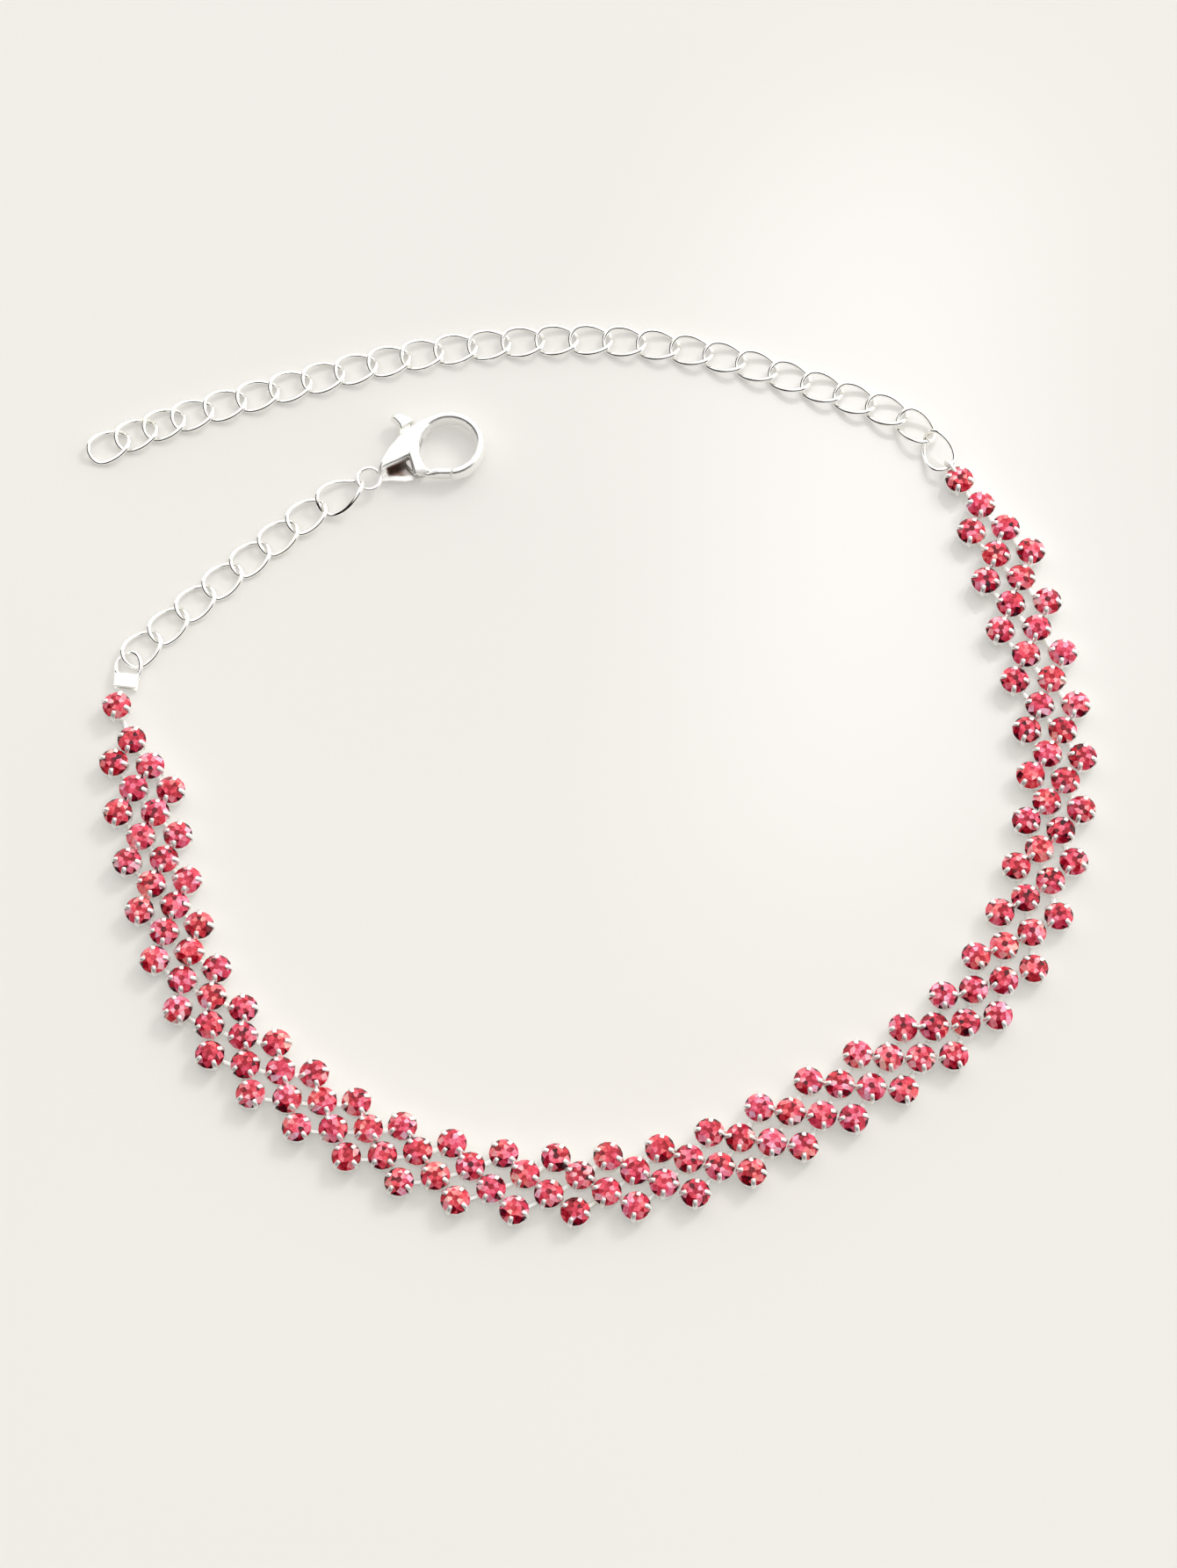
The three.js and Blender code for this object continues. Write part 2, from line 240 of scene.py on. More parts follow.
def through(points, count):
    """Evenly spread points on the smooth curve through some points: between two of them the curve
    is the cubic whose slope at each is half the step between its two neighbours."""
    points = np.array(points, float)
    framed = np.vstack([2 * points[0] - points[1], points, 2 * points[-1] - points[-2]])
    where = np.linspace(0, len(points) - 1, count)
    start = np.minimum(where.astype(int), len(framed) - 4)
    t = (where - start)[:, None]
    before, here, there, after = (framed[start + k] for k in range(4))
    return 0.5 * (2 * here + (there - before) * t
                  + (2 * before - 5 * here + 4 * there - after) * t ** 2
                  + (3 * here - before - 3 * there + after) * t ** 3)


def pillow(edge_a, edge_b, level, rise, sink, sides=20, squareness=0.7):
    """A cushion-like plate between two edge lines that run the same way. Across it, at each step,
    lies a squared ring: towards the edges by its cosine, and up by rise or down by sink times its
    sine. A sink of 0 leaves the underside flat."""
    wide, high = squared_ring(sides, squareness)
    middle, half = (edge_a + edge_b) / 2, (edge_b - edge_a) / 2
    rise = np.broadcast_to(rise, len(edge_a))[:, None]
    sink = np.broadcast_to(sink, len(edge_a))[:, None]
    flat = middle[:, None] + wide[None, :, None] * half[:, None]
    height = level + np.where(high > 0, rise, sink) * high
    points = np.concatenate([flat, height[..., None]], axis=2)
    return points.reshape(-1, 3), [band_faces(len(edge_a), sides), end_faces(len(edge_a), sides)]


def rounded_ends(count, first, last):
    """A factor along a plate that climbs from 0 to 1 on a quarter circle over the first part of it
    and comes down again over the last part."""
    along = np.linspace(0, 1, count)
    climb = np.clip(along / max(first, 1e-6), 0, 1)
    drop = np.clip((1 - along) / max(last, 1e-6), 0, 1)
    return np.sqrt(1 - (1 - climb) ** 2) * np.sqrt(1 - (1 - drop) ** 2)


def add_object(name, data):
    """An object at the origin of the scene."""
    thing = bpy.data.objects.new(name, data)
    bpy.context.scene.collection.objects.link(thing)
    return thing


def make_piece(name, shell, material, body, replaced, sharp=None, shade=None):
    """Puts a shell into a mesh object: every face flat, or smooth with the edges over the sharp
    angle left crisp. Shade is the name of a number that the material reads, and its value at every
    point or on every face."""
    points, blocks = shell
    mesh = bpy.data.meshes.new(name)
    mesh.from_pydata(points, [], [face for block in blocks for face in block.tolist()])
    mesh.validate()
    mesh.update()
    if shade:
        label, values = shade
        if len(values) == len(points):
            layer = mesh.attributes.new(label, "FLOAT", "POINT")
        else:
            layer = mesh.attributes.new(label, "FLOAT", "CORNER")
            corners = [np.full(len(block), block.shape[1]) for block in blocks]
            values = np.repeat(values, np.concatenate(corners))
        layer.data.foreach_set("value", values.astype(np.float32))
    if sharp:
        mesh.shade_smooth()
        mesh.set_sharp_from_angle(angle=math.radians(sharp))
    piece = add_object(name, mesh)
    mesh.materials.append(material)
    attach(piece, body)
    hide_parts(*replaced)


# ---------------------------------------------------------------- settings

# What the lengths have in common, and what the colours have.
LENGTH = {"min": 0, "unit": "LENGTH", "precision": 5}
COLOUR = {"subtype": "COLOR", "size": 3, "min": 0, "max": 1}


class StoneSettings(bpy.types.PropertyGroup):
    diameter: FloatProperty(
        name="Diameter", description="Across the stone at its girdle", default=2.64 * MM, **LENGTH)
    table: FloatProperty(
        name="Table", description="Across the flat top of the stone", default=1.4 * MM, **LENGTH)
    girdle_height: FloatProperty(
        name="Girdle height", description="Height of the stone's widest line above the table top",
        default=1.47 * MM, **LENGTH)
    top_height: FloatProperty(
        name="Top height", description="Height of the stone's flat top",
        default=2.03 * MM, **LENGTH)
    seed: IntProperty(
        name="Seed", description="Which scatter of facet shades is used", default=7)
    pale: FloatVectorProperty(
        name="Pale", description="Colour of the facets that throw the light back",
        default=(1.0, 0.33, 0.40), **COLOUR)
    rose: FloatVectorProperty(
        name="Rose", description="Colour of most of the facets",
        default=(0.88, 0.072, 0.122), **COLOUR)
    deep: FloatVectorProperty(
        name="Deep", description="Colour of the facets that look into the stone",
        default=(0.41, 0.005, 0.020), **COLOUR)
    dark: FloatVectorProperty(
        name="Dark", description="Colour of the few facets that return no light",
        default=(0.045, 0.004, 0.010), **COLOUR)


class CupSettings(bpy.types.PropertyGroup):
    diameter: FloatProperty(
        name="Diameter", description="Across the outside of a stone cup",
        default=2.62 * MM, **LENGTH)
    rim_height: FloatProperty(
        name="Rim height", description="Height of the cup's rim", default=1.41 * MM, **LENGTH)
    band_height: FloatProperty(
        name="Band height", description="Height of the straight band under the rim",
        default=0.8 * MM, **LENGTH)
    foot: FloatProperty(
        name="Foot", description="Width of the cup's underside as a share of its rim",
        default=0.74, min=0.3, max=1)
    claw_width: FloatProperty(
        name="Claw width", description="Width of each of the four claws over the stone",
        default=0.42 * MM, **LENGTH)
    claw_reach: FloatProperty(
        name="Claw reach", description="How far a claw reaches in over the stone",
        default=0.52 * MM, **LENGTH)
    claw_turn: FloatProperty(
        name="Claw turn", description="How far the claws are turned from the corners of their row",
        default=math.radians(-10), unit="ROTATION")
    claw_wobble: FloatProperty(
        name="Claw wobble", description="How far the claws stray from their even spacing",
        default=math.radians(7), min=0, unit="ROTATION")
    tie_width: FloatProperty(
        name="Tie width", description="Width of the strips that tie one cup to the next",
        default=0.5 * MM, **LENGTH)


class ChainSettings(bpy.types.PropertyGroup):
    link_length: FloatProperty(
        name="Link length", description="Outer length of a curb link", default=4.4 * MM, **LENGTH)
    link_width: FloatProperty(
        name="Link width", description="Outer width of a curb link", default=3.3 * MM, **LENGTH)
    link_twist: FloatProperty(
        name="Link twist", description="Twist of a curb link over one millimetre of its length",
        default=math.radians(14), unit="ROTATION")
    oval_length: FloatProperty(
        name="Oval length", description="Outer length of the oval link at the clasp",
        default=5.2 * MM, **LENGTH)
    oval_width: FloatProperty(
        name="Oval width", description="Outer width of the oval link at the clasp",
        default=3.6 * MM, **LENGTH)
    oval_twist: FloatProperty(
        name="Oval twist", description="Twist of the oval link over one millimetre of its length",
        default=math.radians(20.2), unit="ROTATION")
    wire: FloatProperty(
        name="Wire", description="Thickness of the links' wire", default=0.44 * MM, **LENGTH)
    connector_heading: FloatProperty(
        name="Connector heading", description="Direction from the last cup to the end connector",
        default=math.radians(72), unit="ROTATION")
    connector_turn: FloatProperty(
        name="Connector turn", description="How far the connector is turned from that heading",
        default=math.radians(12), unit="ROTATION")


class ClaspSettings(bpy.types.PropertyGroup):
    heading: FloatProperty(
        name="Heading", description="Direction from the clasp's eye to its hook",
        default=math.radians(17.7), unit="ROTATION")
    thickness: FloatProperty(
        name="Thickness", description="Height of the clasp over both cheeks",
        default=2.4 * MM, **LENGTH)
    slot: FloatProperty(
        name="Slot", description="Height of the gap between the cheeks that the lever lies in",
        default=0.96 * MM, **LENGTH)
    hook_radius: FloatProperty(
        name="Hook radius", description="Radius of the hook's middle line",
        default=2.93 * MM, **LENGTH)
    hook_width: FloatProperty(
        name="Hook width", description="Width of the hook's bar in plan",
        default=0.92 * MM, **LENGTH)
    hook_depth: FloatProperty(
        name="Hook depth", description="Height of the hook's bar", default=1.9 * MM, **LENGTH)


class FinishSettings(bpy.types.PropertyGroup):
    silver: FloatVectorProperty(
        name="Silver", description="Colour of the bright silver plate",
        default=(0.985, 0.98, 0.96), **COLOUR)
    tarnish: FloatVectorProperty(
        name="Tarnish", description="Colour of the faint yellow cast in places",
        default=(0.93, 0.915, 0.84), **COLOUR)
    # Painted shade: a dark colour painted into the gap between the clasp's cheeks, where shade
    # falls.
    painted_shade: FloatVectorProperty(
        name="Hollow", description="Colour of the dull metal inside the clasp",
        default=(0.26, 0.185, 0.155), **COLOUR)
    roughness: FloatProperty(
        name="Roughness", description="Middle roughness of the silver plate",
        subtype="FACTOR", default=0.09, min=0, max=1)


class StageSettings(bpy.types.PropertyGroup):
    floor_colour: FloatVectorProperty(
        name="Floor colour", description="Colour of the pale surface",
        default=(0.574, 0.559, 0.534), **COLOUR)
    sky: FloatProperty(
        name="Sky", description="Strength of the even light from all round", default=1.23, min=0)
    dark_height: FloatProperty(
        name="Dark height", description="How far up the dark zone in front reaches, as a sine",
        default=0.77, min=-1, max=1)
    # Painted glow: the floor gives off light of its own, which lightens its shadows.
    floor_glow: FloatProperty(
        name="Floor glow", description="Strength of the light that the surface gives off itself",
        default=0.28, min=0)
    key: FloatProperty(
        name="Key", description="Power of the large soft lamp", default=14.5, min=0, unit="POWER")
    beam: FloatProperty(
        name="Beam", description="Power of each of the narrow beams that brighten the right side",
        default=6.6, min=0, unit="POWER")
    elevation: FloatProperty(
        name="Camera elevation", description="Height of the camera above the horizon",
        default=math.radians(68), unit="ROTATION")
    distance: FloatProperty(
        name="Camera distance", description="From the camera to the middle of the layout",
        default=0.44, min=0, unit="LENGTH")
    lens: FloatProperty(
        name="Lens", description="Focal length of the camera", default=110.9, min=1,
        subtype="DISTANCE_CAMERA", unit="CAMERA")


GROUPS = {
    "bracelet_stone": StoneSettings,
    "bracelet_cup": CupSettings,
    "bracelet_chain": ChainSettings,
    "bracelet_clasp": ClaspSettings,
    "bracelet_finish": FinishSettings,
    "bracelet_stage": StageSettings,
}


# ---------------------------------------------------------------- finishes

# For each silver finish: polish marks in a metre, whether shade is painted into its hollows, how
# much rougher it is than the bright plate, and how much of it acts as metal.
SILVER_FINISHES = {
    "cup_silver": (2400, False, 0.3, 0.75),
    "chain_silver": (1500, False, 0.0, 1.0),
    "clasp_silver": (900, True, 0.2, 0.9),
}

# The glass: its clouds and colour casts in a metre, the colour of its brightest facets, which are
# painted glints, and the casts from violet to orange that its colour is multiplied by.
GLASS_CLOUDS, GLASS_CASTS = 2600, 420
GLINT = (1.0, 0.56, 0.62)
VIOLET_CAST, NO_CAST, ORANGE_CAST = (0.96, 1.0, 1.2), (1.0, 1.0, 1.0), (1.0, 1.05, 0.82)

# The floor: its tooth and its clouds in a metre, and the colour of its painted glow, which lightens
# the shadows on it.
FLOOR_TOOTH, FLOOR_CLOUDS = 900, 9
GLOW_COLOUR = (1.0, 0.985, 0.945, 1)


def new_material(name):
    """A material with a Principled shader, and shorthands to add and link nodes."""
    material = bpy.data.materials.new(name)
    material.use_nodes = True
    nodes, links = material.node_tree.nodes, material.node_tree.links
    return material, nodes, links, nodes["Principled BSDF"]


def set_inputs(node, values):
    """Sets some of a node's own sockets."""
    for label, value in values.items():
        node.inputs[label].default_value = value


def noise(nodes, links, coordinates, scale, detail=3.0):
    """A noise pattern on an object's own coordinates."""
    pattern = nodes.new("ShaderNodeTexNoise")
    set_inputs(pattern, {"Scale": scale, "Detail": detail, "Roughness": 0.55})
    links.new(coordinates.outputs["Object"], pattern.inputs["Vector"])
    return pattern.outputs["Fac"]


def spread(nodes, links, source, low, high, low_value, high_value):
    """A number between two limits, brought to another range."""
    change = nodes.new("ShaderNodeMapRange")
    set_inputs(change, {
        "From Min": low, "From Max": high, "To Min": low_value, "To Max": high_value})
    links.new(source, change.inputs["Value"])
    return change.outputs["Result"]


def drift_between(nodes, links, pattern, low_value, high_value):
    """A noise pattern, which mostly lies between 0.3 and 0.7, brought to another range."""
    return spread(nodes, links, pattern, 0.3, 0.7, low_value, high_value)


def combine(nodes, links, operation, first, second):
    """One number worked out from two."""
    result = nodes.new("ShaderNodeMath")
    result.operation = operation
    links.new(first, result.inputs[0])
    links.new(second, result.inputs[1])
    return result.outputs["Value"]


def own_number(nodes, label):
    """The number that a piece carries under this name."""
    number = nodes.new("ShaderNodeAttribute")
    number.attribute_name = label
    return number.outputs["Fac"]


def add_relief(nodes, links, pattern, shader, strength, depth):
    """Lets a shader's surface rise and fall with a pattern."""
    bump = nodes.new("ShaderNodeBump")
    set_inputs(bump, {"Strength": strength, "Distance": depth})
    links.new(pattern, bump.inputs["Height"])
    links.new(bump.outputs["Normal"], shader.inputs["Normal"])


def colour_ramp(nodes, links, source, stops):
    """Colours by position along a number."""
    ramp = nodes.new("ShaderNodeValToRGB")
    elements = ramp.color_ramp.elements
    while len(elements) < len(stops):
        elements.new(0.5)
    for element, (position, colour) in zip(elements, stops):
        element.position = position
        element.color = (*colour, 1)
    links.new(source, ramp.inputs["Fac"])
    return ramp.outputs["Color"]


def silver_plate(name):
    """One of the silver finishes, made once: metal whose roughness and colour drift a little, with
    fine polish marks. Where a piece says how much painted shade lies at each point, its colour goes
    over to the dark painted shade colour, which stands in for the shade in the gap inside the
    clasp."""
    if name in bpy.data.materials:
        return bpy.data.materials[name]
    grain, painted_shade, dulled, metal = SILVER_FINISHES[name]
    finish = bpy.context.scene.bracelet_finish
    middle = finish.roughness + dulled
    material, nodes, links, shader = new_material(name)
    coordinates = nodes.new("ShaderNodeTexCoord")
    drift = noise(nodes, links, coordinates, grain * 0.25)
    marks = noise(nodes, links, coordinates, grain, detail=4.0)
    colour = colour_ramp(nodes, links, drift, [
        (0.3, tuple(finish.tarnish)), (0.46, tuple(finish.silver)), (1.0, tuple(finish.silver))])
    # Painted shade: where the piece says so, the colour goes over to the dark colour painted for
    # the shade in the gap.
    if painted_shade:
        mix = nodes.new("ShaderNodeMix")
        mix.data_type = "RGBA"
        set_inputs(mix, {"B": (*finish.painted_shade, 1)})
        links.new(own_number(nodes, "painted_shade"), mix.inputs["Factor"])
        links.new(colour, mix.inputs["A"])
        colour = mix.outputs["Result"]
    links.new(colour, shader.inputs["Base Color"])
    roughness = drift_between(nodes, links, marks, middle - 0.05, middle + 0.08)
    links.new(roughness, shader.inputs["Roughness"])
    add_relief(nodes, links, marks, shader, 0.12, 0.02 * MM)
    set_inputs(shader, {"Metallic": metal})
    return material


def rose_glass():
    """Foiled rose glass, made once: every facet is painted its own shade from pale to dark, a
    painted reflection of another part of the foil behind the stone, clouded by fine noise, with a
    faint cast to violet or orange that drifts from stone to stone, under a hard clear polish."""
    if "rose_glass" in bpy.data.materials:
        return bpy.data.materials["rose_glass"]
    stone = bpy.context.scene.bracelet_stone
    material, nodes, links, shader = new_material("rose_glass")
    coordinates = nodes.new("ShaderNodeTexCoord")
    cloud = noise(nodes, links, coordinates, GLASS_CLOUDS, detail=2.0)
    shift = drift_between(nodes, links, cloud, -0.12, 0.12)
    level = combine(nodes, links, "ADD", own_number(nodes, "facet_level"), shift)
    colour = colour_ramp(nodes, links, level, [
        (0.02, tuple(stone.dark)), (0.3, tuple(stone.deep)), (0.58, tuple(stone.rose)),
        (0.88, tuple(stone.pale)), (1.0, GLINT)])
    cast = noise(nodes, links, coordinates, GLASS_CASTS, detail=1.0)
    tint = colour_ramp(nodes, links, cast, [
        (0.36, VIOLET_CAST), (0.5, NO_CAST), (0.64, ORANGE_CAST)])
    tinted = nodes.new("ShaderNodeMix")
    tinted.data_type = "RGBA"
    tinted.blend_type = "MULTIPLY"
    set_inputs(tinted, {"Factor": 1.0})
    links.new(colour, tinted.inputs["A"])
    links.new(tint, tinted.inputs["B"])
    links.new(tinted.outputs["Result"], shader.inputs["Base Color"])
    links.new(drift_between(nodes, links, cloud, 0.06, 0.16), shader.inputs["Roughness"])
    set_inputs(shader, {"IOR": 1.56, "Specular IOR Level": 0.3})
    return material


def pale_floor():
    """A pale surface with a very fine tooth, which gives off a part of its light itself: a painted
    glow that lightens the shadows on it.
    """
    stage = bpy.context.scene.bracelet_stage
    material, nodes, links, shader = new_material("pale_floor")
    coordinates = nodes.new("ShaderNodeTexCoord")
    tooth = noise(nodes, links, coordinates, FLOOR_TOOTH)
    clouds = noise(nodes, links, coordinates, FLOOR_CLOUDS, detail=1.0)
    base = np.array(stage.floor_colour)
    colour = colour_ramp(nodes, links, clouds, [
        (0.3, tuple(base * (0.985, 0.99, 1.0))), (0.7, tuple(base * (1.01, 1.0, 0.99)))])
    links.new(colour, shader.inputs["Base Color"])
    add_relief(nodes, links, tooth, shader, 0.05, 0.05 * MM)
    set_inputs(shader, {
        "Emission Color": GLOW_COLOUR, "Emission Strength": stage.floor_glow,
        "Roughness": 0.75, "Specular IOR Level": 0.2})
    return material


# ---------------------------------------------------------------- stones and cups

# The stone's cut: the small octagon as a share of the table, the crown's break as a share of the
# radius, and how far the culet lies under the girdle.
OCTAGON_SHARE = 0.42
BREAK_SHARE = 0.79
CULET_DEPTH = 0.95 * MM

# How light the facets are painted, as painted reflections of the foil: how often one at the rim is
# painted dark, how dark, and the level of those under the girdle; then for each ring of eight its
# middle level, wave, scatter and turn in steps.
DARK_SHARE, DARK_LEVEL, UNDER_LEVEL = 0.3, 0.02, 0.25
CROWN_LEVELS = [(0.56, 0.26, 0.12, 0.5), (0.55, 0.2, 0.2, 0.5), (0.62, 0.22, 0.18, 0.0)]
RIM_LEVELS = [(0.46, 0.16, 0.2, 0.0), (0.46, 0.16, 0.2, 0.5)]


def stone_shell(stone):
    """A round cut stone about its own axis. Rings from the middle of the table out: a small
    octagon, the table's edge, the crown's break half a step on and the sixteen-sided girdle, then
    the culet below. The break lies on the slope from table to girdle, so every kite is flat."""
    radius, table, top, girdle = (
        stone.diameter / 2, stone.table / 2, stone.top_height, stone.girdle_height)
    break_radius = BREAK_SHARE * radius
    inward = break_radius * math.cos(TURN / 16)
    break_height = top + (girdle - top) * (inward - table) / (radius - table)
    step = np.arange(8) * TURN / 8

    def ring(distance, angles, height):
        """Points at these angles about the axis."""
        return np.column_stack([
            distance * np.cos(angles), distance * np.sin(angles), np.full(len(angles), height)])

    points = np.vstack([
        ring(OCTAGON_SHARE * table, step, top), ring(table, step, top),
        ring(break_radius, step + TURN / 16, break_height),
        ring(radius, np.arange(16) * TURN / 16, girdle), [[0, 0, girdle - CULET_DEPTH]]])
    k = np.arange(8)
    after = (k + 1) % 8
    edge, brk, rim, culet = 8, 16, 24, 40
    rims = rim + np.arange(16)
    return points, [
        np.arange(8)[None],
        np.stack([k, edge + k, edge + after, after], 1),
        np.stack([edge + k, brk + k, edge + after], 1),
        np.stack([edge + k, brk + (k - 1) % 8, rim + 2 * k, brk + k], 1),
        np.stack([brk + k, rim + 2 * k, rim + 2 * k + 1], 1),
        np.stack([brk + k, rim + 2 * k + 1, rim + (2 * k + 2) % 16], 1),
        np.stack([rims, np.full(16, culet), np.roll(rims, -1)], 1),
    ]


def facet_levels(count, seed):
    """How light each facet of each stone is painted, from 0 to 1, as a painted reflection of the
    foil. Each ring of facets has a middle level; a wave with three to five crests round the stone,
    a lean to one side and a scatter are added, and each stone has its own share of light. Some
    facets at the rim are painted dark, where no light comes back."""
    rng = np.random.default_rng(seed)
    of_stone = rng.normal(0, 0.07, (count, 1))
    crests = rng.choice([3, 4, 5], (count, 1))
    phase = rng.uniform(0, TURN, (count, 1))

    def ring(middle, wave, scatter, offset):
        """Levels of one ring of eight facets, for every stone."""
        angle = (np.arange(8) + offset) * TURN / 8
        lean = 0.10 * np.sin(angle + rng.normal(0.6, 0.9, (count, 1)))
        return (middle + of_stone + wave * np.sin(crests * angle + phase) + lean
                + rng.normal(0, scatter, (count, 8)))

    centre = rng.choice([0.12, 0.3, 0.42, 0.7], (count, 1), p=[0.2, 0.4, 0.25, 0.15])
    rim = [ring(*levels) for levels in RIM_LEVELS]
    rim = [np.where(rng.random((count, 8)) < DARK_SHARE, DARK_LEVEL, level) for level in rim]
    crown = [ring(*levels) for levels in CROWN_LEVELS]
    rings = [centre, *crown, *rim, np.full((count, 16), UNDER_LEVEL)]
    return np.clip(np.concatenate([level.ravel() for level in rings]), 0, 1)


def stone_turns(slants, seed):
    """Matrices that turn each stone at random about its axis and let it lean a degree or two."""
    rng = np.random.default_rng(seed + 1)
    count = len(slants)
    turns = turn_about_up(rng.uniform(0, TURN, count))
    lean = rng.normal(0, math.radians(1.3), (count, 2)).clip(-0.045, 0.045)
    tip = np.tile(np.eye(3), (count, 1, 1))
    tip[:, 0, 2], tip[:, 2, 0] = lean[:, 0], -lean[:, 0]
    tip[:, 1, 2], tip[:, 2, 1] = lean[:, 1], -lean[:, 1]
    return tip @ turns


def cup_shell(cup):
    """A round cup, narrower at its foot: from the middle of its underside a profile of radius and
    height goes out, up the slope to the shoulder, up the straight band under the rim, over the rim
    and down inside, and is turned about the axis."""
    radius, rim = cup.diameter / 2, cup.rim_height
    profile = np.array([
        [0.3 * radius, 0], [cup.foot * radius, 0], [0.98 * radius, rim - cup.band_height],
        [radius, rim - 0.05 * MM], [radius - 0.06 * MM, rim], [radius - 0.12 * MM, rim - 0.3 * MM]])
    around = np.arange(CUP_SIDES) * TURN / CUP_SIDES
    points = np.stack([
        profile[:, :1] * np.cos(around), profile[:, :1] * np.sin(around),
        np.repeat(profile[:, 1:], CUP_SIDES, axis=1)], axis=-1)
    faces = [band_faces(len(profile), CUP_SIDES), end_faces(len(profile), CUP_SIDES)]
    return points.reshape(-1, 3), faces


def claw_shell(cup):
    """A claw along X: a flat bar that climbs the cup's wall, bends in over the rim and lies on the
    stone, thinner and rounder towards its tip."""
    radius, rim = cup.diameter / 2, cup.rim_height
    reach = cup.claw_reach
    line = np.array([
        [0.97 * radius, 0, rim - cup.band_height - 0.02 * MM],
        [radius + 0.06 * MM, 0, rim - 0.05 * MM],
        [radius + 0.03 * MM, 0, rim + 0.2 * MM],
        [radius - 0.4 * reach, 0, rim + 0.42 * MM],
        [radius - 0.85 * reach, 0, rim + 0.57 * MM],
        [radius - reach, 0, rim + 0.60 * MM]])
    leaning_out = UPWARD + [0.3, 0.0, 0.0]
    half_width = cup.claw_width / 2 * np.array([0.8, 1.0, 1.0, 1.0, 0.95, 0.6])
    half_height = CLAW_THICKNESS / 2 * np.array([0.6, 0.9, 1.0, 1.0, 0.9, 0.5])
    return rod(line, leaning_out, half_width, half_height, sides=8, squareness=0.8)


class BRACELET_OT_stones(bpy.types.Operator):
    """Add the rose glass stones, one in each cup"""
    bl_idname = "bracelet.add_stones"
    bl_label = "Stones"

    def execute(self, context):
        stone = context.scene.bracelet_stone
        grid, slants = cup_grid()
        if grid.size != 2 * STONE_COUNT:
            raise RuntimeError(f"the band holds {grid.size // 2} stones, not {STONE_COUNT}")
        centres = np.column_stack([grid.reshape(-1, 2), np.zeros(STONE_COUNT)])
        axis_height = np.array([0, 0, stone.girdle_height])
        points, blocks = stone_shell(stone)
        turns = stone_turns(np.repeat(slants, COLUMNS), stone.seed)
        shell = repeat_shell((points - axis_height, blocks), turns, centres + axis_height)
        make_piece(
            "stones", shell, rose_glass(), "bracelet",
            replaced=BAND_NODES,
            # Painted reflections: how light each facet is painted.
            shade=("facet_level", facet_levels(STONE_COUNT, stone.seed)))
        return {"FINISHED"}


class BRACELET_OT_cups(bpy.types.Operator):
    """Add the silver cups and their claws"""
    bl_idname = "bracelet.add_cups"
    bl_label = "Cups and claws"

    def execute(self, context):
        cup = context.scene.bracelet_cup
        rng = np.random.default_rng(CUP_SEED)
        grid, slants = cup_grid()
        centres = np.column_stack([grid.reshape(-1, 2), np.zeros(grid.size // 2)])
        facing = np.repeat(slants, COLUMNS) + rng.normal(0, 0.5, len(centres)) * cup.claw_wobble
        cups = repeat_shell(cup_shell(cup), turn_about_up(facing), centres)
        corners = (np.arange(CLAWS) + 0.5) * TURN / CLAWS
        claw_angles = facing[:, None] + cup.claw_turn + corners
        claw_angles = claw_angles + rng.uniform(-1, 1, claw_angles.shape) * cup.claw_wobble
        claws = repeat_shell(
            claw_shell(cup), turn_about_up(claw_angles.ravel()), np.repeat(centres, CLAWS, axis=0))
        make_piece(
            "stone_cups", join_shells([cups, claws]), silver_plate("cup_silver"), "bracelet",
            replaced=BAND_NODES, sharp=50)
        return {"FINISHED"}


class BRACELET_OT_ties(bpy.types.Operator):
    """Add the strips that tie the cups together, and the half ring that the extender hangs from"""
    bl_idname = "bracelet.add_ties"
    bl_label = "Ties"

    def execute(self, context):
        cup = context.scene.bracelet_cup
        grid, _ = cup_grid()
        starts = np.concatenate([grid[:, :-1].reshape(-1, 2), grid[:-1, 2]])
        ends = np.concatenate([grid[:, 1:].reshape(-1, 2), grid[1:, 1]])
        span = ends - starts
        length = np.linalg.norm(span, axis=1)
        bar = rod(
            np.array([[-0.5, 0.0, 0.0], [0.5, 0.0, 0.0]]), UPWARD,
            cup.tie_width / 2, TIE_THICKNESS / 2, squareness=0.5)
        stretch = np.tile(np.eye(3), (len(span), 1, 1))
        stretch[:, 0, 0] = length
        turns = turn_about_up(np.arctan2(span[:, 1], span[:, 0])) @ stretch
        places = np.column_stack([(starts + ends) / 2, np.full(len(span), TIE_HEIGHT)])
        bars = repeat_shell(bar, turns, places)
        make_piece(
            "cup_ties", join_shells([bars, self.half_ring(grid[0, 0])]),
            silver_plate("cup_silver"), "bracelet",
            replaced=BAND_NODES, sharp=50)
        return {"FINISHED"}

    def half_ring(self, cup_centre):
        """Wire that leaves the first cup, turns a half circle upright and comes back."""
        link_centre, _ = link_place("extender_link_01")
        heading = np.array(link_centre[:2]) - cup_centre
        heading /= np.linalg.norm(heading)
        radius, reach, height = 0.75 * MM, 1.45 * MM, 1.1 * MM
        root, wire = 0.6 * MM, 0.4 * MM
        swing = np.linspace(math.pi / 2, -math.pi / 2, 15)
        out = np.concatenate([[root], reach + radius * np.cos(swing), [root]])
        level = height + radius * np.concatenate([[1], np.sin(swing), [-1]])
        path = np.column_stack([cup_centre + out[:, None] * heading, level])
        side = np.array([-heading[1], heading[0], 0.0])
        return rod(path, side, wire / 2, wire / 2)


# ---------------------------------------------------------------- chains

